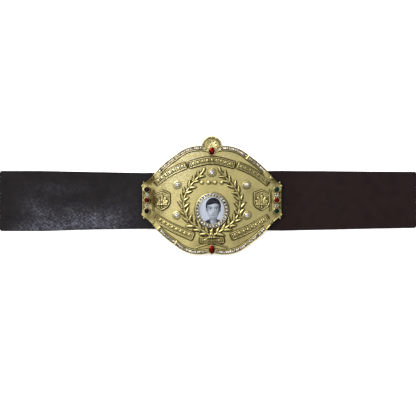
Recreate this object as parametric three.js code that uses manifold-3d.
// A championship title belt lying face up: a cast, curved gold plate with raised banners, laurels, shields
// and stars, rows of set stones, a portrait medallion and a crest, riveted to a plain leather strap.
// Millimetres. X runs along the strap, +Y points to the crest, +Z points out of the plate's face.
import * as THREE from "three";
import { ConvexGeometry } from "three/addons/geometries/ConvexGeometry.js";
import { mergeVertices } from "three/addons/utils/BufferGeometryUtils.js";
import Module from "manifold-3d";

const wasm = await Module();
wasm.setup();

// Clearance between pieces that touch, and how deep raised work reaches into what carries it
const GAP = 0.3;
const SINK = 0.8;

// How far the sides of raised work lean, as a casting's do
const DRAFT = 0.4;

// Leather strap
const STRAP_LENGTH = 811;
const STRAP_HALF_WIDTH = 57;
const STRAP_THICKNESS = 3;
const STRAP_CORNER = 4;
const STRAP_BEND_RADIUS = 280;
const STRAP_CENTRE_OFFSET = -7.5;
const STRAP_ARCH_STEPS = 14;
const STRAP_BEND_STEPS = 4;

// Cast plate
const PLATE_HALF_WIDTH = 135;
const PLATE_HALF_HEIGHT = 105;
const PLATE_END_HALF_HEIGHT = 30;
const PLATE_THICKNESS = 3;
const PLATE_CURVE_RADIUS = 765;

// Channel of set stones along the plate's edge
const CHANNEL_WIDTH = 9.4;
const RIM_WIDTH = 1.5;
const RIM_HEIGHT = 2.4;
const KNUCKLE_LENGTH = 4.2;
const KNUCKLE_HEIGHT = 3.4;
const ROW_BASE_THICKNESS = 1.3;
const ROW_STONE_PITCH = 4.2;
const ROW_STONE_HEIGHT = 1.2;
const ROW_TABLE_SHARE = 0.6;

// Raised banners
const BANNER_HALF_WIDTH = 6.8;
const BANNER_RIM_WIDTH = 1.1;
const BANNER_RIM_HEIGHT = 1.9;
const BANNER_FLOOR_HEIGHT = 0.8;
const BANNER_END_SHARE = 0.7;
const BANNER_STEP = 20;
const LOZENGE_PITCH = 11;
const LOZENGE_LENGTH = 8;
const LOZENGE_WIDTH = 5.6;

// Laurel branches
const LEAF_LENGTH = 18;
const LEAF_WIDTH = 6.8;
const LEAF_HEIGHT = 2.3;
const LEAF_SPREAD_ANGLE = 0.55;
const LEAF_PAIRS = 10;
const LEAF_SHRINK_SHARE = 0.02;
const LEAF_SETBACK = 13;
const STEM_WIDTH = 2;
const STEM_HEIGHT = 1.2;
const STEM_TAPER = 0.5;
const TIE_LENGTH = 11;
const TIE_WIDTH = 5;
const TIE_HEIGHT = 2.6;
const TIE_TAPER = 0.6;

// Shields, stars and small ornament
const SHIELD_WIDTH = 32;
const SHIELD_HEIGHT = 41;
const SHIELD_RIM_HEIGHT = 1.5;
const SHIELD_FLOOR_HEIGHT = 0.8;
const SHIELD_LEAF_LENGTH = 20.5;
const SHIELD_LEAF_WIDTH = 5.3;
const SHIELD_FAN_DROP = 10;
const STAR_RADIUS = 5.4;
const STAR_WAIST_SHARE = 0.42;
const STAR_HEIGHT = 1.4;
const STARS = 4;
const STAR_PITCH = 12.8;
const BEAD_RADIUS = 2.4;
const BEAD_HEIGHT = 2;
const BEAD_SIDES = 6;
const BEAD_TAPER = 0.6;
const BEAD_OVERHANG_SHARE = 0.75;
const RIDGE_WIDTH = 1.3;
const RIDGE_HEIGHT = 1.1;
const RIDGE_HALF_LENGTH = 21;
const SPRIG_LEAF_LENGTH = 8;
const SPRIG_LEAF_WIDTH = 3.2;

// Stones and their cups
const CUP_WALL = 1.2;
const CUP_HEIGHT = 2.7;
const CUP_TAPER = 0.94;
const CUP_SIDES = 8;
const CLEAR_STONE_RADIUS = 4.7;
const END_STONE_RADIUS = 4.5;
const STONE_CROWN = 1.5;
const STONE_FOOT_SHARE = 0.8;
const STONE_TABLE_SHARE = 0.6;
const SMALL_STONE_RADIUS = 2.2;
const SMALL_STONE_HEIGHT = 1;
const SMALL_STONE_SIDES = 4;
const SMALL_STONE_PITCH = 3.4;
const SMALL_SETTING_HEIGHT = 0.9;
const JEWEL_HALF_WIDTH = 5.6;
const JEWEL_HALF_HEIGHT = 7.8;
const JEWEL_CUP_HEIGHT = 3.4;
const JEWEL_SIDES = 12;

// Portrait medallion
const PORTRAIT_HALF_WIDTH = 24.4;
const PORTRAIT_HALF_HEIGHT = 26.4;
const PORTRAIT_SIDES = 24;
const PORTRAIT_SEAT_HEIGHT = 1.3;
const PORTRAIT_RING_WIDTH = 7.6;
const PORTRAIT_RING_HEIGHT = 2.6;
const PORTRAIT_LIP_WIDTH = 1.4;
const PORTRAIT_LIP_HEIGHT = 3.5;
const PORTRAIT_STONES = 30;
const PORTRAIT_STONE_RADIUS = 2.5;
const PORTRAIT_STONE_HEIGHT = 1.4;
const PORTRAIT_STONE_SIDES = 6;
const PICTURE_THICKNESS = 1;
const LENS_EDGE = 0.8;
const LENS_RISE = 2.2;
const LENS_STEPS = 3;

// Crest
const CREST_RADIUS = 20;
const CREST_FOOT_HALF_WIDTH = 11.3;
const CREST_FOOT_DEPTH = 10.2;
const CREST_FLARE_ANGLE = 0.178;
const CREST_THICKNESS = 2.6;
const CREST_CHAMFER = 0.6;
const CREST_RIM_WIDTH = 1.6;
const CREST_RIM_HEIGHT = 0.9;
const CREST_RIM_TAPER = 0.5;
const CREST_LEAF_LENGTH = 17;
const CREST_LEAF_WIDTH = 4.2;
const CREST_LEAF_HEIGHT = 1.3;
const CREST_FAN_DROP = 1.7;
const CREST_ARC_STEPS = 9;
const CREST_RIM_STEPS = 12;

// Rivets
const RIVET_HEAD_RADIUS = 5.5;
const RIVET_HEAD_THICKNESS = 1.6;
const RIVET_HEAD_TAPER = 0.8;
const RIVET_SHANK_RADIUS = 2.5;
const RIVET_SIDES = 8;

// The strap from end to end: along as a share of its half length, its edges as shares of its half width
const STRAP_STATIONS = [
  { along: -1, top: 1.005, bottom: 1.05 },
  { along: -0.8, top: 1.005, bottom: 1.055 },
  { along: -0.55, top: 0.97, bottom: 1 },
  { along: -0.3, top: 0.935, bottom: 0.975 },
  { along: 0.36, top: 1.005, bottom: 1.035 },
  { along: 0.55, top: 1, bottom: 1.01 },
  { along: 0.8, top: 0.98, bottom: 0.97 },
  { along: 1, top: 0.975, bottom: 0.945 },
];

// Places on the plate are [x, y] pairs, as shares of its half width and half height.
// A quarter of its edge is three arcs, each through three points: a round lobe, a shoulder and a flank.
const PLATE_EDGE = [
  [0, 0.962],
  [0.281, 0.989],
  [0.533, 0.821],
  [0.667, 0.695],
  [0.789, 0.543],
  [0.885, 0.403],
  [1, PLATE_END_HALF_HEIGHT / PLATE_HALF_HEIGHT],
];
const EDGE_STEPS = { lobe: 7, shoulder: 4, flank: 3 };

// Each banner's middle line, with its width as a share of the banners' width
const BANNERS = [
  { width: 1, line: [[-0.318, 0.648], [0, 0.735], [0.318, 0.648]] },
  { width: 0.97, line: [[-0.374, 0.64], [-0.524, 0.561], [-0.661, 0.455], [-0.8, 0.319]] },
  { width: 0.97, line: [[0.374, 0.64], [0.524, 0.561], [0.661, 0.455], [0.8, 0.319]] },
  { width: 1.17, line: [[-0.8, -0.33], [-0.565, -0.505], [-0.27, -0.67]] },
  { width: 1.07, line: [[0.8, -0.33], [0.548, -0.52], [0.285, -0.67]] },
  { width: 0.88, line: [[-0.165, -0.735], [0, -0.745], [0.165, -0.735]] },
];

// The right laurel branch, from the tie to the tip
const LAUREL_STEM = [
  [-0.03, -0.69],
  [0.252, -0.457],
  [0.37, -0.276],
  [0.4, -0.057],
  [0.37, 0.129],
  [0.296, 0.276],
  [0.2, 0.42],
  [0.13, 0.52],
];
const PEDIMENT = [
  [0.055, -0.81],
  [0.1, -0.822],
  [0.222, -0.875],
];
const SPRIG = { at: [0.835, 0.385], turns: [0.15, 1.3] };

// Half of a shield's outline, from its top point to its bottom point, as shares of its width and height
const SHIELD_OUTLINE = [
  [0, 0.5],
  [0.28, 0.42],
  [0.5, 0.34],
  [0.5, -0.14],
  [0.36, -0.34],
  [0, -0.5],
];
const SHIELD_FLOOR_SHARE = 0.84;

// A leaf's outline on one side of its midrib, from its foot, as shares of its length and width
const LEAF_OUTLINE = [
  [0.3, 0.5],
  [0.62, 0.44],
];

// A fan of leaves: each leaf's turn from upright, and its length as a share of the fan's
const FAN = [
  { turn: -1.15, length: 0.65 },
  { turn: -0.58, length: 0.85 },
  { turn: 0, length: 1 },
  { turn: 0.58, length: 0.85 },
  { turn: 1.15, length: 0.65 },
];

// Stones by name. The end stones stand in columns, so their places are shares of the end's half height.
const CLEAR_STONES = {
  top: [0, 0.508],
  upper_left: [-0.493, 0.282],
  upper_right: [0.493, 0.282],
  lower_left: [-0.503, -0.275],
  lower_right: [0.503, -0.275],
};
const END_STONES = { top: 0.69, middle: 0, bottom: -0.69 };
const SMALL_STONES = { upper: 0.345, lower: -0.345 };
const END_STONE_COLORS = {
  left: { top: 0x1c0b10, middle: 0x8c1a10, bottom: 0x1c0b10 },
  right: { top: 0x0d3a30, middle: 0x9a1a12, bottom: 0x0d3a30 },
};
const END_COLUMN = 0.929;
const RIDGE_COLUMN = 0.838;
const SHIELD_COLUMN = 0.715;
const STAR_LINE = 0.324;
const PORTRAIT_LINE = -0.188;
const CREST_LINE = 0.99;
const JEWEL_LINE = 0.905;
const RIVET_COLUMNS = { left: -0.74, centre: 0, right: 0.74 };
const RIVET_LINE = 0.66;
const CREST_BEAD_TURNS = [-0.5, 0, 0.5];
const SIDES = { left: -1, right: 1 };
const ENDS = { top: 1, bottom: -1 };

// Materials, with colours as the belt shows them
const GOLD = new THREE.MeshStandardMaterial({ color: 0xb9a75a, roughness: 0.35, metalness: 1 });
const LEATHER = new THREE.MeshStandardMaterial({ color: 0x231d20, roughness: 0.5, metalness: 0 });
const CRYSTAL = new THREE.MeshStandardMaterial({ color: 0xe4e2e6, roughness: 0.05, metalness: 0.1 });
const PICTURE = new THREE.MeshStandardMaterial({ color: 0x9aa2b4, roughness: 0.6, metalness: 0 });
const NICKEL = new THREE.MeshStandardMaterial({ color: 0xa8a49a, roughness: 0.4, metalness: 1 });
const RUBY = new THREE.MeshStandardMaterial({ color: 0x8c1410, roughness: 0.08, metalness: 0 });

// The belt's arch, seen from the side. The strap and the plate share one centre of curvature.
const archAngle = Math.asin(PLATE_HALF_WIDTH / PLATE_CURVE_RADIUS);
const strapArchRadius = PLATE_CURVE_RADIUS - GAP - STRAP_THICKNESS;
const archCentreZ = STRAP_BEND_RADIUS * (1 - Math.cos(archAngle)) - strapArchRadius * Math.cos(archAngle);
const archEnd = strapArchRadius * Math.sin(archAngle);
const bendEnd = archEnd + STRAP_BEND_RADIUS * Math.sin(archAngle);

// A point over the plate: x is measured along the curve, and h is the height above the plate's back
function onPlate(x, y, h) {
  const turn = x / PLATE_CURVE_RADIUS;
  const radius = PLATE_CURVE_RADIUS + h;
  return new THREE.Vector3(radius * Math.sin(turn), y, archCentreZ + radius * Math.cos(turn));
}

// Where a small straight piece stands: its own +Z is the plate's normal, and it is turned about that normal
function standing({ x, y }, h, turn = 0) {
  const lean = new THREE.Matrix4().makeRotationY(x / PLATE_CURVE_RADIUS);
  const spin = new THREE.Matrix4().makeRotationZ(turn);
  return lean.multiply(spin).setPosition(onPlate(x, y, h));
}

const FIELD = PLATE_THICKNESS;
const onField = (geometry, place, turn) => geometry.applyMatrix4(standing(place, FIELD, turn));
const placeOf = ([x, y]) => new THREE.Vector2(x * PLATE_HALF_WIDTH, y * PLATE_HALF_HEIGHT);
const flipped = (places, x) => places.map(([placeX, placeY]) => [placeX * x, placeY]);
const across = (direction) => new THREE.Vector2(-direction.y, direction.x);
const shares = (count, from = 0, to = 1) =>
  Array.from({ length: count + 1 }, (_, i) => from + ((to - from) * i) / count);
const polar = (radius, angle) => new THREE.Vector2(radius, 0).rotateAround(new THREE.Vector2(), angle);

// Bodies

const SAME_POINT = 1e-3;
const SAME_VERTEX = 1e-4;
const SMALLEST_EDGE = 0.02;
const SMALLEST_BODY = 0.01;

// A closed body from its triangles, with its faces turned outwards. Triangles without area are left out.
function closedBody(triangles) {
  const real = triangles.filter(
    ([a, b, c]) => Math.min(a.distanceTo(b), b.distanceTo(c), c.distanceTo(a)) > SAME_POINT,
  );
  const volume = real.reduce((sum, [a, b, c]) => sum + a.dot(b.clone().cross(c)), 0);
  const outwards = volume < 0 ? real.map(([a, b, c]) => [a, c, b]) : real;
  return new THREE.BufferGeometry().setFromPoints(outwards.flat());
}

// The skin between two rings of as many points
const band = (ring, nextRing) =>
  ring.flatMap((point, i) => {
    const j = (i + 1) % ring.length;
    return [
      [point, ring[j], nextRing[j]],
      [point, nextRing[j], nextRing[i]],
    ];
  });

// A flat lid on a ring. Its triangles meet at the ring's first point, so the ring opens towards that point.
const lid = (ring) => ring.slice(1, -1).map((point, i) => [ring[0], point, ring[i + 2]]);

function loft(rings) {
  const skins = rings.slice(1).flatMap((ring, i) => band(rings[i], ring));
  const start = lid(rings[0]).map(([a, b, c]) => [a, c, b]);
  return closedBody([...skins, ...start, ...lid(rings[rings.length - 1])]);
}

// A section of [sideways, height above the field] pairs carried along stations on the plate
const sweep = (stations, sectionAt) =>
  loft(
    stations.map(({ point, side }, i) =>
      sectionAt(i).map(([s, h]) => onPlate(point.x + s * side.x, point.y + s * side.y, FIELD + h)),
    ),
  );

const block = (width, low, high, taper = 1) => [
  [-width / 2, low],
  [(-width / 2) * taper, high],
  [(width / 2) * taper, high],
  [width / 2, low],
];

// A round or oval disc along Z. Its corners lie on the given radii, or its flats do where it is a bore.
function disc({ x, y }, low, high, { sides, taper = 1, bore = false }) {
  const grow = bore ? 1 / Math.cos(Math.PI / sides) : 1;
  return new THREE.CylinderGeometry(taper, 1, high - low, sides)
    .rotateX(Math.PI / 2)
    .scale(x * grow, y * grow, 1)
    .translate(0, 0, (low + high) / 2);
}

function solidOf(geometry) {
  const bare = geometry.index ? geometry.toNonIndexed() : geometry.clone();
  bare.deleteAttribute("normal");
  bare.deleteAttribute("uv");
  const merged = mergeVertices(bare, SAME_VERTEX);
  return new wasm.Manifold(
    new wasm.Mesh({
      numProp: 3,
      vertProperties: merged.attributes.position.array,
      triVerts: new Uint32Array(merged.index.array),
    }),
  );
}

// A solid's skin. Close cuts can leave edges and crumbs too small to matter: the edges are closed up first,
// and the crumbs left out.
function geometryOf(solid) {
  const bodies = solid.simplify(SMALLEST_EDGE).decompose();
  const whole = bodies.filter((body) => body.volume() > SMALLEST_BODY).reduce((all, body) => all.add(body));
  const { vertProperties, triVerts } = whole.getMesh();
  return new THREE.BufferGeometry()
    .setAttribute("position", new THREE.BufferAttribute(vertProperties, 3))
    .setIndex(new THREE.BufferAttribute(triVerts, 1));
}

const joined = (geometries) => geometries.map(solidOf).reduce((all, one) => all.add(one));
const without = (solid, geometries) =>
  geometries.map(solidOf).reduce((all, one) => all.subtract(one), solid);

// Stations: a point on the plate, and the direction that points sideways there

function arcThrough(a, b, c) {
  const d = 2 * (a.x * (b.y - c.y) + b.x * (c.y - a.y) + c.x * (a.y - b.y));
  const [aa, bb, cc] = [a, b, c].map((p) => p.lengthSq());
  const centre = new THREE.Vector2(
    (aa * (b.y - c.y) + bb * (c.y - a.y) + cc * (a.y - b.y)) / d,
    (aa * (c.x - b.x) + bb * (a.x - c.x) + cc * (b.x - a.x)) / d,
  );
  const radius = centre.distanceTo(a);
  const start = a.clone().sub(centre).angle();
  const sweepTo = c.clone().sub(centre).angle() - start;
  const turn = THREE.MathUtils.euclideanModulo(sweepTo + Math.PI, 2 * Math.PI) - Math.PI;
  const outward = turn < 0 ? 1 : -1;
  return {
    length: Math.abs(turn) * radius,
    at(s) {
      const spoke = polar(1, start + (Math.sign(turn) * s) / radius);
      const point = spoke.clone().multiplyScalar(radius).add(centre);
      return { point, side: spoke.multiplyScalar(outward) };
    },
  };
}

// The plate's edge from the top's middle to the end's corner, by the distance along it
const edgeArcs = [0, 2, 4].map((i) => arcThrough(...PLATE_EDGE.slice(i, i + 3).map(placeOf)));
const [lobe, shoulder, flank] = edgeArcs;
const lobeEnd = lobe.length;
const shoulderEnd = lobeEnd + shoulder.length;
const edgeEnd = shoulderEnd + flank.length;

function edgeAt(s) {
  if (s <= 0 || s >= edgeEnd) {
    return { point: placeOf(s <= 0 ? PLATE_EDGE[0] : PLATE_EDGE.at(-1)), side: new THREE.Vector2(0, 1) };
  }
  if (s <= lobeEnd) return lobe.at(s);
  return s <= shoulderEnd ? shoulder.at(s - lobeEnd) : flank.at(s - shoulderEnd);
}

const inset = ({ point, side }, distance) => ({
  point: point.clone().addScaledVector(side, -distance),
  side,
});

const mirrored = ({ point, side }, x, y) => ({
  point: new THREE.Vector2(point.x * x, point.y * y),
  side: new THREE.Vector2(side.x * x, side.y * y),
});

// Where the rows of stones run, by the distance along the edge, in the plate's top or bottom half
const rowSpans = (end) => ({
  inner: [
    end > 0 ? CREST_FOOT_HALF_WIDTH : JEWEL_HALF_WIDTH + CUP_WALL + RIM_WIDTH,
    lobeEnd - KNUCKLE_LENGTH / 2,
  ],
  outer: [lobeEnd + KNUCKLE_LENGTH / 2, shoulderEnd - RIM_WIDTH],
});

const edgeMarks = [
  ...shares(EDGE_STEPS.lobe, 0, lobeEnd),
  ...shares(EDGE_STEPS.shoulder, lobeEnd, shoulderEnd),
  ...shares(EDGE_STEPS.flank, shoulderEnd, edgeEnd),
];
const spanMarks = Object.values(ENDS).flatMap((end) => Object.values(rowSpans(end)).flat());

// A smooth line through a table's places, by the distance along it
function lineOf(places) {
  const curve = new THREE.SplineCurve(places.map(placeOf));
  const length = curve.getLength();
  const at = (distance) => {
    const t = THREE.MathUtils.clamp(distance / length, 0, 1);
    const forward = curve.getTangentAt(t);
    const point = curve.getPointAt(t).addScaledVector(forward, distance - t * length);
    return { point, side: across(forward), forward };
  };
  return { length, at, stations: (count) => shares(count, 0, length).map(at) };
}

// The two stations of a straight line, from its two ends
const straight = (from, to) => {
  const side = across(to.clone().sub(from).normalize());
  return [from, to].map((point) => ({ point, side }));
};

// The strap

// The strap's back, seen from the side: its height and its slope at a place along the belt
function strapBack(x) {
  const reach = Math.abs(x);
  if (reach <= archEnd) {
    const slope = Math.asin(reach / strapArchRadius);
    return { z: archCentreZ + strapArchRadius * Math.cos(slope), slope: Math.sign(x) * slope };
  }
  const slope = Math.asin(Math.max(0, bendEnd - reach) / STRAP_BEND_RADIUS);
  return { z: STRAP_BEND_RADIUS * (1 - Math.cos(slope)), slope: Math.sign(x) * slope };
}

function strapWidths(x) {
  const along = (x - STRAP_CENTRE_OFFSET) / (STRAP_LENGTH / 2);
  const i = Math.max(1, STRAP_STATIONS.findIndex((station) => along <= station.along + SAME_POINT));
  const [a, b] = [STRAP_STATIONS[i - 1], STRAP_STATIONS[i]];
  const t = (along - a.along) / (b.along - a.along);
  return {
    top: STRAP_HALF_WIDTH * THREE.MathUtils.lerp(a.top, b.top, t),
    bottom: -STRAP_HALF_WIDTH * THREE.MathUtils.lerp(a.bottom, b.bottom, t),
  };
}

function strapSection(x, trim) {
  const { z, slope } = strapBack(x);
  const { top, bottom } = strapWidths(x);
  const ring = [
    [bottom + trim, 0],
    [top - trim, 0],
    [top - trim, STRAP_THICKNESS],
    [bottom + trim, STRAP_THICKNESS],
  ];
  return ring.map(([y, h]) => new THREE.Vector3(x + h * Math.sin(slope), y, z + h * Math.cos(slope)));
}

function strap() {
  const [start, end] = [-1, 1].map((sign) => STRAP_CENTRE_OFFSET + (sign * STRAP_LENGTH) / 2);
  const widths = STRAP_STATIONS.map(({ along }) => STRAP_CENTRE_OFFSET + (along * STRAP_LENGTH) / 2);
  const places = [
    ...shares(STRAP_ARCH_STEPS, -archEnd, archEnd),
    ...shares(STRAP_BEND_STEPS, archEnd, bendEnd),
    ...shares(STRAP_BEND_STEPS, -bendEnd, -archEnd),
    ...widths.filter((x) => Math.abs(x) > bendEnd),
    start + STRAP_CORNER,
    end - STRAP_CORNER,
  ].sort((a, b) => a - b);
  const sections = places
    .filter((x, i) => i === 0 || x - places[i - 1] > GAP)
    .map((x) => strapSection(x, x === start || x === end ? STRAP_CORNER : 0));
  const hole = disc(round(RIVET_SHANK_RADIUS + GAP), -2 * STRAP_THICKNESS, STRAP_THICKNESS, {
    sides: RIVET_SIDES,
    bore: true,
  });
  const holes = rivetPlaces().map(({ place }) => hole.clone().applyMatrix4(standing(place, 0)));
  return geometryOf(without(solidOf(loft(sections)), holes));
}

// The plate's casting

// The border's corners, by their distances from the edge
const borderInsets = [
  0,
  RIM_WIDTH,
  RIM_WIDTH,
  CHANNEL_WIDTH - RIM_WIDTH,
  CHANNEL_WIDTH - RIM_WIDTH,
  CHANNEL_WIDTH,
  CHANNEL_WIDTH,
];

// The heights of those corners over the field, at a distance along the edge
function borderHeights(s, end) {
  const { inner, outer } = rowSpans(end);
  if ([inner, outer].some(([from, to]) => s > from && s < to)) {
    return [RIM_HEIGHT, RIM_HEIGHT, 0, 0, RIM_HEIGHT, RIM_HEIGHT, 0];
  }
  if (s > shoulderEnd) return [RIDGE_HEIGHT, RIDGE_HEIGHT, 0, 0, 0, 0, 0];
  const height = s > inner[1] && s < outer[0] ? KNUCKLE_HEIGHT : RIM_HEIGHT;
  return [height, height, height, height, height, height, 0];
}

// Half of a section across the plate, from its back's edge over the border to the field
function plateHalfSection(s, nudge, x, y) {
  const heights = borderHeights(s + nudge, y);
  const station = mirrored(edgeAt(s), x, y);
  const border = borderInsets.map((distance, i) => {
    const { point } = inset(station, distance);
    return onPlate(point.x, point.y, FIELD + heights[i]);
  });
  return [onPlate(station.point.x, station.point.y, 0), ...border];
}

// Sections without those that repeat the one before
function withoutRepeats(rings) {
  const differs = (ring, before) => ring.some((point, j) => point.distanceTo(before[j]) > SAME_POINT);
  return rings.filter((ring, i) => i === 0 || differs(ring, rings[i - 1]));
}

function plateBody() {
  const nudge = 2 * SAME_POINT;
  const inside = [...edgeMarks, ...spanMarks].filter((s) => s > nudge && s < edgeEnd - nudge);
  const steps = [
    { s: 0, nudge },
    ...inside.toSorted((a, b) => a - b).flatMap((s) => [{ s, nudge: -nudge }, { s, nudge }]),
    { s: edgeEnd, nudge: -nudge },
  ];
  const [left, right] = [-1, 1].map((x) =>
    steps.map((step) => [
      ...plateHalfSection(step.s, step.nudge, x, 1),
      ...plateHalfSection(step.s, step.nudge, x, -1).toReversed(),
    ]),
  );
  return loft(withoutRepeats([...left.toReversed(), ...right]));
}

// A section of a banner's frame: leaning sides, a rim along each, and the floor between them
const bannerSection = ({ half, floor }) => [
  [-half - DRAFT, -SINK],
  [-half, BANNER_RIM_HEIGHT],
  [BANNER_RIM_WIDTH - half, BANNER_RIM_HEIGHT],
  [BANNER_RIM_WIDTH - half, floor],
  [half - BANNER_RIM_WIDTH, floor],
  [half - BANNER_RIM_WIDTH, BANNER_RIM_HEIGHT],
  [half, BANNER_RIM_HEIGHT],
  [half + DRAFT, -SINK],
];

function bannerFrame(path, half) {
  const { length } = path;
  const rim = BANNER_RIM_WIDTH;
  const endHalf = half * BANNER_END_SHARE;
  const steps = Math.max(1, Math.round(length / BANNER_STEP));
  const stops = [
    { at: -rim, half: endHalf, floor: BANNER_RIM_HEIGHT },
    { at: 0, half, floor: BANNER_RIM_HEIGHT },
    ...shares(steps, rim, length - rim).map((at) => ({ at, half, floor: BANNER_FLOOR_HEIGHT })),
    { at: length, half, floor: BANNER_RIM_HEIGHT },
    { at: length + rim, half: endHalf, floor: BANNER_RIM_HEIGHT },
  ];
  return sweep(
    stops.map(({ at }) => path.at(at)),
    (i) => bannerSection(stops[i]),
  );
}

// A banner with a rim all round it, and a row of lozenges on its floor
function banner({ line, width }) {
  const path = lineOf(line);
  const count = Math.floor((path.length - 2 * BANNER_RIM_WIDTH) / LOZENGE_PITCH);
  const reach = ((count - 1) * LOZENGE_PITCH) / 2;
  const middle = path.length / 2;
  const places = shares(count - 1, middle - reach, middle + reach).map(path.at);
  return [bannerFrame(path, BANNER_HALF_WIDTH * width), ...places.map((place) => lozenge(place, width))];
}

// A point beside a station, by the distances forwards and sideways and the height above the field
function beside({ point, side }, forwards, sideways, h) {
  const forward = across(side).negate();
  const at = point.clone().addScaledVector(forward, forwards).addScaledVector(side, sideways);
  return onPlate(at.x, at.y, FIELD + h);
}

const lozenge = (station, width) =>
  new ConvexGeometry([
    beside(station, LOZENGE_LENGTH / 2, 0, 0),
    beside(station, -LOZENGE_LENGTH / 2, 0, 0),
    beside(station, 0, (LOZENGE_WIDTH * width) / 2, 0),
    beside(station, 0, (-LOZENGE_WIDTH * width) / 2, 0),
    beside(station, 0, 0, BANNER_RIM_HEIGHT),
  ]);

// A leaf with a raised midrib
function leaf(foot, direction, { length, width, height, floor = 0 }) {
  const station = { point: foot, side: across(direction) };
  const low = floor - SINK / 2;
  return new ConvexGeometry([
    beside(station, 0, 0, low),
    beside(station, length, 0, low),
    ...LEAF_OUTLINE.flatMap(([along, out]) => [
      beside(station, along * length, out * width, low),
      beside(station, along * length, -out * width, low),
      beside(station, along * length, 0, floor + height),
    ]),
  ]);
}

function laurelBranch(x) {
  const path = lineOf(flipped(LAUREL_STEM, x));
  const stem = sweep(path.stations(LEAF_PAIRS), () => block(STEM_WIDTH, -SINK, STEM_HEIGHT, STEM_TAPER));
  const pairs = path.stations(LEAF_PAIRS).slice(1);
  const leaves = pairs.flatMap(({ point, forward }, i) => {
    const size = 1 - LEAF_SHRINK_SHARE * i;
    return [-1, 1].map((hand) =>
      leaf(
        point.clone().addScaledVector(forward, -LEAF_SETBACK),
        forward.clone().rotateAround(new THREE.Vector2(), hand * LEAF_SPREAD_ANGLE),
        { length: LEAF_LENGTH * size, width: LEAF_WIDTH * size, height: LEAF_HEIGHT },
      ),
    );
  });
  return [stem, ...leaves];
}

const fan = (foot, { length, width, height, floor }) =>
  FAN.map((part) =>
    leaf(foot, polar(1, Math.PI / 2 - part.turn), { length: length * part.length, width, height, floor }),
  );

function shield(centre) {
  const half = SHIELD_OUTLINE.map(([x, y]) => new THREE.Vector2(x * SHIELD_WIDTH, y * SHIELD_HEIGHT));
  const otherHalf = half.slice(1, -1).toReversed().map(({ x, y }) => new THREE.Vector2(-x, y));
  const ring = (size, h) =>
    [...half, ...otherHalf].map(({ x, y }) => onPlate(centre.x + x * size, centre.y + y * size, FIELD + h));
  const body = loft([ring(1, -SINK), ring(1, SHIELD_RIM_HEIGHT)]);
  const recess = loft([SHIELD_FLOOR_HEIGHT, 2 * SHIELD_RIM_HEIGHT].map((h) => ring(SHIELD_FLOOR_SHARE, h)));
  const leaves = fan(new THREE.Vector2(centre.x, centre.y - SHIELD_FAN_DROP), {
    length: SHIELD_LEAF_LENGTH,
    width: SHIELD_LEAF_WIDTH,
    height: SHIELD_RIM_HEIGHT,
    floor: SHIELD_FLOOR_HEIGHT,
  });
  return [geometryOf(without(solidOf(body), [recess])), ...leaves];
}

function star(centre) {
  const points = shares(10).slice(1).map((t, i) => {
    const spoke = polar(STAR_RADIUS * (i % 2 ? 1 : STAR_WAIST_SHARE), Math.PI / 2 + 2 * Math.PI * t);
    return onPlate(centre.x + spoke.x, centre.y + spoke.y, FIELD - SINK / 2);
  });
  const [peak, base] = [STAR_HEIGHT, -SINK].map((h) => onPlate(centre.x, centre.y, FIELD + h));
  return closedBody(
    points.flatMap((point, i) => {
      const next = points[(i + 1) % points.length];
      return [
        [point, next, peak],
        [next, point, base],
      ];
    }),
  );
}

// Places by name

const named = (table, each) => Object.entries(table).flatMap(([name, value]) => each(name, value));

const clearStonePlaces = named(CLEAR_STONES, (name, at) => ({ name, place: placeOf(at) }));

const columnPlaces = (table) =>
  named(SIDES, (side, x) =>
    named(table, (name, share) => ({
      side,
      name,
      place: new THREE.Vector2(x * END_COLUMN * PLATE_HALF_WIDTH, share * PLATE_END_HALF_HEIGHT),
    })),
  );

const rivetPlaces = () =>
  named(RIVET_COLUMNS, (column, x) =>
    named(ENDS, (end, y) => ({
      name: column + "_" + end,
      place: new THREE.Vector2(x * PLATE_HALF_WIDTH, y * RIVET_LINE * STRAP_HALF_WIDTH),
    })),
  );

const crestPlace = placeOf([0, CREST_LINE]);
const crestJewelPlace = placeOf([0, JEWEL_LINE]);
const bottomJewelPlace = placeOf([0, -JEWEL_LINE]);
const portraitPlace = placeOf([0, PORTRAIT_LINE]);

const round = (radius) => new THREE.Vector2(radius, radius);
const grown = (size, by) => new THREE.Vector2(size.x + by, size.y + by);
const jewelSize = new THREE.Vector2(JEWEL_HALF_WIDTH, JEWEL_HALF_HEIGHT);
const portraitSize = new THREE.Vector2(PORTRAIT_HALF_WIDTH, PORTRAIT_HALF_HEIGHT);

const roundCup = (radius) => ({ size: round(radius), sides: CUP_SIDES, height: CUP_HEIGHT });
const jewelCup = { size: jewelSize, sides: JEWEL_SIDES, height: JEWEL_CUP_HEIGHT };
const stoneSeats = [
  ...clearStonePlaces.map(({ place }) => ({ place, ...roundCup(CLEAR_STONE_RADIUS) })),
  ...columnPlaces(END_STONES).map(({ place }) => ({ place, ...roundCup(END_STONE_RADIUS) })),
  { place: bottomJewelPlace, ...jewelCup },
];

const cupBody = ({ size, sides, height }, foot = -SINK) =>
  disc(grown(size, GAP + CUP_WALL), foot, height, { sides, taper: CUP_TAPER, bore: true });

const cupBore = ({ size, sides }) => disc(grown(size, GAP), 0, 2 * JEWEL_CUP_HEIGHT, { sides, bore: true });

function portraitSeat() {
  const size = grown(portraitSize, PORTRAIT_RING_WIDTH + 2 * GAP);
  return onField(disc(size, -SINK, PORTRAIT_SEAT_HEIGHT, { sides: PORTRAIT_SIDES }), portraitPlace);
}

const bead = (low, high) => disc(round(BEAD_RADIUS), low, high, { sides: BEAD_SIDES, taper: BEAD_TAPER });

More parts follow.
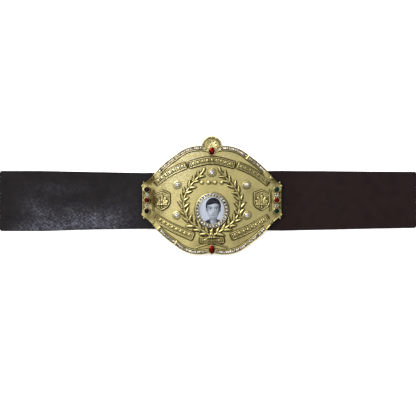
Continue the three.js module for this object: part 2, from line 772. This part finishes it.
// Two beads near a corner of the plate, and a sprig of two leaves beside them
function corner(x, y) {
  const besideEnd = inset(edgeAt(edgeEnd - 2 * BEAD_RADIUS), -BEAD_OVERHANG_SHARE * BEAD_RADIUS);
  const atEnd = inset(edgeAt(edgeEnd), BEAD_RADIUS);
  const beads = [besideEnd, atEnd].map((station) =>
    onField(bead(-PLATE_THICKNESS / 2, BEAD_HEIGHT), mirrored(station, x, y).point),
  );
  const flip = new THREE.Vector2(x, y);
  const foot = placeOf(SPRIG.at).multiply(flip);
  const leaves = SPRIG.turns.map((turn) =>
    leaf(foot, polar(1, turn).multiply(flip), {
      length: SPRIG_LEAF_LENGTH,
      width: SPRIG_LEAF_WIDTH,
      height: RIDGE_HEIGHT,
    }),
  );
  return [...beads, ...leaves];
}

function smallOrnament() {
  const ridge = () => block(RIDGE_WIDTH, -SINK, RIDGE_HEIGHT);
  const middle = placeOf([0, LAUREL_STEM[0][1]]);
  const half = new THREE.Vector2(TIE_LENGTH / 2, 0);
  const tie = sweep(straight(middle.clone().sub(half), middle.add(half)), () =>
    block(TIE_WIDTH, -SINK, TIE_HEIGHT, TIE_TAPER),
  );
  const lines = Object.values(SIDES).flatMap((x) => {
    const top = new THREE.Vector2(x * RIDGE_COLUMN * PLATE_HALF_WIDTH, RIDGE_HALF_LENGTH);
    return [
      sweep(lineOf(flipped(PEDIMENT, x)).stations(PEDIMENT.length), ridge),
      sweep(straight(new THREE.Vector2(top.x, -top.y), top), ridge),
    ];
  });
  return [tie, ...lines];
}

function mainPlate() {
  const reach = ((STARS - 1) * STAR_PITCH) / 2;
  const stars = shares(STARS - 1, -reach, reach).map((x) =>
    star(new THREE.Vector2(x, STAR_LINE * PLATE_HALF_HEIGHT)),
  );
  const halves = Object.values(SIDES).flatMap((x) => [
    ...laurelBranch(x),
    ...shield(placeOf([x * SHIELD_COLUMN, 0])),
    ...Object.values(ENDS).flatMap((y) => corner(x, y)),
  ]);
  const cast = joined([
    plateBody(),
    ...BANNERS.flatMap(banner),
    ...halves,
    ...stars,
    ...smallOrnament(),
    ...stoneSeats.map((seat) => onField(cupBody(seat), seat.place)),
    portraitSeat(),
  ]);
  const crestJewelSeat = { size: grown(jewelSize, 2 * GAP + CUP_WALL), sides: JEWEL_SIDES };
  return geometryOf(
    without(cast, [
      ...stoneSeats.map((seat) => onField(cupBore(seat), seat.place)),
      onField(crestPrism(GAP, 0, 2 * CREST_THICKNESS), crestPlace),
      onField(cupBore(crestJewelSeat), crestJewelPlace),
    ]),
  );
}

// The crest: a round boss over the plate's top edge, drawn in to a foot between the rows of stones

function crestShape(grow) {
  const foot = new THREE.Vector2(CREST_FOOT_HALF_WIDTH + grow, -CREST_FOOT_DEPTH - grow);
  const shape = new THREE.Shape();
  shape.moveTo(-foot.x, foot.y);
  shape.lineTo(foot.x, foot.y);
  shape.absarc(0, 0, CREST_RADIUS + grow, -CREST_FLARE_ANGLE, Math.PI + CREST_FLARE_ANGLE, false);
  shape.closePath();
  return shape;
}

const crestPrism = (grow, low, high) =>
  new THREE.ExtrudeGeometry(crestShape(grow), {
    depth: high - low,
    bevelEnabled: false,
    curveSegments: CREST_ARC_STEPS,
  }).translate(0, 0, low);

const crestBase = () =>
  new THREE.ExtrudeGeometry(crestShape(0), {
    depth: CREST_THICKNESS - 2 * CREST_CHAMFER,
    bevelThickness: CREST_CHAMFER,
    bevelSize: CREST_CHAMFER,
    bevelOffset: -CREST_CHAMFER,
    bevelSegments: 1,
    curveSegments: CREST_ARC_STEPS,
  }).translate(0, 0, CREST_CHAMFER);

function crestRim() {
  const middle = CREST_RADIUS - CREST_CHAMFER - CREST_RIM_WIDTH;
  const top = CREST_THICKNESS + CREST_RIM_HEIGHT;
  const section = block(CREST_RIM_WIDTH, CREST_THICKNESS - SINK, top, CREST_RIM_TAPER);
  return loft(
    shares(CREST_RIM_STEPS, 0, Math.PI).map((angle) =>
      section.map(([out, z]) => {
        const spoke = polar(middle + out, angle);
        return new THREE.Vector3(spoke.x, spoke.y, z);
      }),
    ),
  );
}

// A leaf of the crest's fan, on flat metal
function crestLeaf({ turn, length }) {
  const low = CREST_THICKNESS - SINK / 2;
  const at = (along, out, z) => {
    const spoke = polar(along * length * CREST_LEAF_LENGTH, Math.PI / 2 - turn);
    const sideways = polar(out * CREST_LEAF_WIDTH, -turn);
    return new THREE.Vector3(spoke.x + sideways.x, spoke.y + sideways.y - CREST_FAN_DROP, z);
  };
  return new ConvexGeometry([
    at(0, 0, low),
    at(1, 0, low),
    ...LEAF_OUTLINE.flatMap(([along, out]) => [
      at(along, out, low),
      at(along, -out, low),
      at(along, 0, CREST_THICKNESS + CREST_LEAF_HEIGHT),
    ]),
  ]);
}

function crest() {
  const beads = CREST_BEAD_TURNS.map((turn) => {
    const place = polar(CREST_RADIUS - BEAD_RADIUS, Math.PI / 2 - turn);
    return bead(CREST_THICKNESS - SINK, CREST_THICKNESS + BEAD_HEIGHT).translate(place.x, place.y, 0);
  });
  const down = crestJewelPlace.y - crestPlace.y;
  const cup = cupBody(jewelCup, 0).translate(0, down, 0);
  const bore = cupBore(jewelCup).translate(0, down, CREST_CHAMFER);
  const body = joined([crestBase(), crestRim(), ...FAN.map(crestLeaf), ...beads, cup]);
  return geometryOf(without(body, [bore]));
}

// Stones

const stoneRing = ({ x, y }, sides, size, z, phase = 0) =>
  shares(sides).slice(1).map((t) => {
    const angle = 2 * Math.PI * (t + phase / sides);
    return new THREE.Vector3(x * size * Math.cos(angle), y * size * Math.sin(angle), z);
  });

// A cut stone: facets under its girdle, triangular facets over it, and a table
const cutStone = (size, sides, girdle, crown) =>
  new ConvexGeometry([
    ...stoneRing(size, sides, STONE_FOOT_SHARE, 0),
    ...stoneRing(size, sides, 1, girdle),
    ...stoneRing(size, sides, STONE_TABLE_SHARE, girdle + crown, 0.5),
  ]);

// A small stone that is fused to its setting: straight facets up to a table
const setStone = (radius, height, sides) =>
  new ConvexGeometry([
    ...stoneRing(round(radius), sides, 1, -SINK / 2, 0.5),
    ...stoneRing(round(radius), sides, STONE_TABLE_SHARE, height, 0.5),
  ]);

// A square stone's table, turned against its girdle so that eight triangular facets lead up to it
function rowTable(at, half, from, to) {
  const middle = (from + to) / 2;
  const reach = (ROW_TABLE_SHARE * (to - from)) / 2;
  const top = ROW_BASE_THICKNESS + ROW_STONE_HEIGHT;
  return [
    at(middle, -half * ROW_TABLE_SHARE, top),
    at(middle - reach, 0, top),
    at(middle, half * ROW_TABLE_SHARE, top),
    at(middle + reach, 0, top),
  ];
}

// A row of square stones fused to the strip that seats them in the channel
function stoneRow([from, to], x, y) {
  const half = CHANNEL_WIDTH / 2 - RIM_WIDTH - 2 * GAP;
  const [start, end] = [from + GAP, to - GAP];
  const at = (s, sideways, h) => {
    const { point } = mirrored(inset(edgeAt(s), CHANNEL_WIDTH / 2 + sideways), x, y);
    return onPlate(point.x, point.y, FIELD + GAP + h);
  };
  const stops = shares(Math.floor((end - start) / ROW_STONE_PITCH), start, end);
  const rings = stops.map((s) => [
    at(s, half, ROW_BASE_THICKNESS),
    at(s, half, 0),
    at(s, -half, 0),
    at(s, -half, ROW_BASE_THICKNESS),
  ]);
  const stones = rings.slice(1).flatMap((ring, i) => {
    const table = rowTable(at, half, stops[i], stops[i + 1]);
    return [...band([rings[i][3], rings[i][0], ring[0], ring[3]], table), ...lid(table)];
  });
  const walls = rings.slice(1).flatMap((ring, i) => band(rings[i], ring).slice(0, -2));
  const ends = [...lid(rings[0].toReversed()), ...lid(rings.at(-1))];
  const row = closedBody([...stones, ...walls, ...ends]);
  if (y < 0) return row;
  const crestRoom = onField(crestPrism(2 * GAP, 0, 2 * CREST_THICKNESS), crestPlace);
  return geometryOf(without(solidOf(row), [crestRoom]));
}

// Four small square stones, two by two, fused to the block that seats them
function smallStoneGroup() {
  const width = 2 * SMALL_STONE_PITCH;
  const seat = new THREE.BoxGeometry(width, width, SMALL_SETTING_HEIGHT);
  const halves = [-SMALL_STONE_PITCH / 2, SMALL_STONE_PITCH / 2];
  const stoneAt = (x, y) =>
    setStone(SMALL_STONE_RADIUS, SMALL_STONE_HEIGHT, SMALL_STONE_SIDES).translate(x, y, SMALL_SETTING_HEIGHT);
  const stones = halves.flatMap((x) => halves.map((y) => stoneAt(x, y)));
  return geometryOf(joined([seat.translate(0, 0, SMALL_SETTING_HEIGHT / 2), ...stones]));
}

// The portrait medallion, about its own centre, from the top of its seat

// An oval frame: a section of [outwards, height] pairs carried round the picture
function ovalFrame(section) {
  const rings = shares(PORTRAIT_SIDES).slice(1).map((t) => {
    const angle = 2 * Math.PI * t;
    return section.map(([out, z]) => {
      const { x, y } = grown(portraitSize, out);
      return new THREE.Vector3(x * Math.cos(angle), y * Math.sin(angle), z);
    });
  });
  return closedBody(rings.flatMap((ring, i) => band(ring, rings[(i + 1) % rings.length])));
}

function portraitStoneRing() {
  const lip = GAP + PORTRAIT_LIP_WIDTH;
  const frame = ovalFrame([
    [GAP, 0],
    [PORTRAIT_RING_WIDTH, 0],
    [PORTRAIT_RING_WIDTH, PORTRAIT_RING_HEIGHT],
    [lip, PORTRAIT_RING_HEIGHT],
    [lip, PORTRAIT_LIP_HEIGHT],
    [GAP, PORTRAIT_LIP_HEIGHT],
  ]);
  const size = grown(portraitSize, (lip + PORTRAIT_RING_WIDTH) / 2);
  const stones = shares(PORTRAIT_STONES).slice(1).map((t) => {
    const angle = 2 * Math.PI * t;
    const stone = setStone(PORTRAIT_STONE_RADIUS, PORTRAIT_STONE_HEIGHT, PORTRAIT_STONE_SIDES);
    return stone.translate(size.x * Math.cos(angle), size.y * Math.sin(angle), PORTRAIT_RING_HEIGHT);
  });
  return geometryOf(joined([frame, ...stones]));
}

const insidePortrait = grown(portraitSize, -GAP);
const portraitPicture = () => disc(insidePortrait, 0, PICTURE_THICKNESS, { sides: PORTRAIT_SIDES });

function portraitLens() {
  const dome = shares(LENS_STEPS, 0, Math.PI / 2).map((angle) => [
    Math.cos(angle),
    LENS_EDGE + LENS_RISE * Math.sin(angle),
  ]);
  const profile = [[0, 0], [1, 0], ...dome.slice(0, -1), [0, LENS_EDGE + LENS_RISE]];
  const points = profile.map(([r, z]) => new THREE.Vector2(r, z));
  return new THREE.LatheGeometry(points, PORTRAIT_SIDES)
    .rotateX(Math.PI / 2)
    .scale(insidePortrait.x, insidePortrait.y, 1);
}

// A rivet, from the plate's back: its shank passes through the strap, and its head lies on the strap's back
function rivet() {
  const neck = -2 * GAP - STRAP_THICKNESS;
  const profile = [
    [0, neck - RIVET_HEAD_THICKNESS],
    [RIVET_HEAD_RADIUS * RIVET_HEAD_TAPER, neck - RIVET_HEAD_THICKNESS],
    [RIVET_HEAD_RADIUS, neck],
    [RIVET_SHANK_RADIUS, neck],
    [RIVET_SHANK_RADIUS, -GAP],
    [0, -GAP],
  ];
  const points = profile.map(([r, z]) => new THREE.Vector2(r, z));
  return new THREE.LatheGeometry(points, RIVET_SIDES).rotateX(Math.PI / 2);
}

// The belt

const belt = new THREE.Group();

function add(name, geometry, material, matrix = new THREE.Matrix4()) {
  const mesh = new THREE.Mesh(geometry, material);
  mesh.name = name;
  matrix.decompose(mesh.position, mesh.quaternion, mesh.scale);
  belt.add(mesh);
}

const seatHeight = FIELD + GAP;
add("strap", strap(), LEATHER);
add("main_plate", mainPlate(), GOLD);
add("crest_medallion", crest(), GOLD, standing(crestPlace, seatHeight));

for (const [end, y] of Object.entries(ENDS)) {
  for (const [side, x] of Object.entries(SIDES)) {
    for (const [part, span] of Object.entries(rowSpans(y))) {
      add(["stone_row", end, side, part].join("_"), stoneRow(span, x, y), CRYSTAL);
    }
  }
}

const jewel = cutStone(jewelSize, JEWEL_SIDES, JEWEL_CUP_HEIGHT - CREST_CHAMFER - GAP, STONE_CROWN);
add("crest_jewel", jewel, RUBY, standing(crestJewelPlace, seatHeight + CREST_CHAMFER + GAP));
add("bottom_jewel", jewel, RUBY, standing(bottomJewelPlace, seatHeight));

const roundStone = (radius) => cutStone(round(radius), CUP_SIDES, CUP_HEIGHT - GAP, STONE_CROWN);
for (const { name, place } of clearStonePlaces) {
  add("clear_stone_" + name, roundStone(CLEAR_STONE_RADIUS), CRYSTAL, standing(place, seatHeight));
}
for (const { side, name, place } of columnPlaces(END_STONES)) {
  const color = END_STONE_COLORS[side][name];
  const material = new THREE.MeshStandardMaterial({ color, roughness: 0.08, metalness: 0 });
  const stone = roundStone(END_STONE_RADIUS);
  add(["end_stone", side, name].join("_"), stone, material, standing(place, seatHeight));
}
for (const { side, name, place } of columnPlaces(SMALL_STONES)) {
  add(["small_stones", side, name].join("_"), smallStoneGroup(), CRYSTAL, standing(place, seatHeight));
}

const portraitHeight = seatHeight + PORTRAIT_SEAT_HEIGHT;
add("portrait_stone_ring", portraitStoneRing(), CRYSTAL, standing(portraitPlace, portraitHeight));
add("portrait_picture", portraitPicture(), PICTURE, standing(portraitPlace, portraitHeight));
const lensHeight = portraitHeight + PICTURE_THICKNESS + GAP;
add("portrait_lens", portraitLens(), CRYSTAL, standing(portraitPlace, lensHeight));

for (const { name, place } of rivetPlaces()) {
  add("rivet_" + name, rivet(), NICKEL, standing(place, 0));
}

// The origin is under the middle of the belt's box, on the surface that it lies on
const box = new THREE.Box3().setFromObject(belt);
belt.position.set(-(box.min.x + box.max.x) / 2, -(box.min.y + box.max.y) / 2, -box.min.z);

const model = new THREE.Group();
model.add(belt);

export default model;
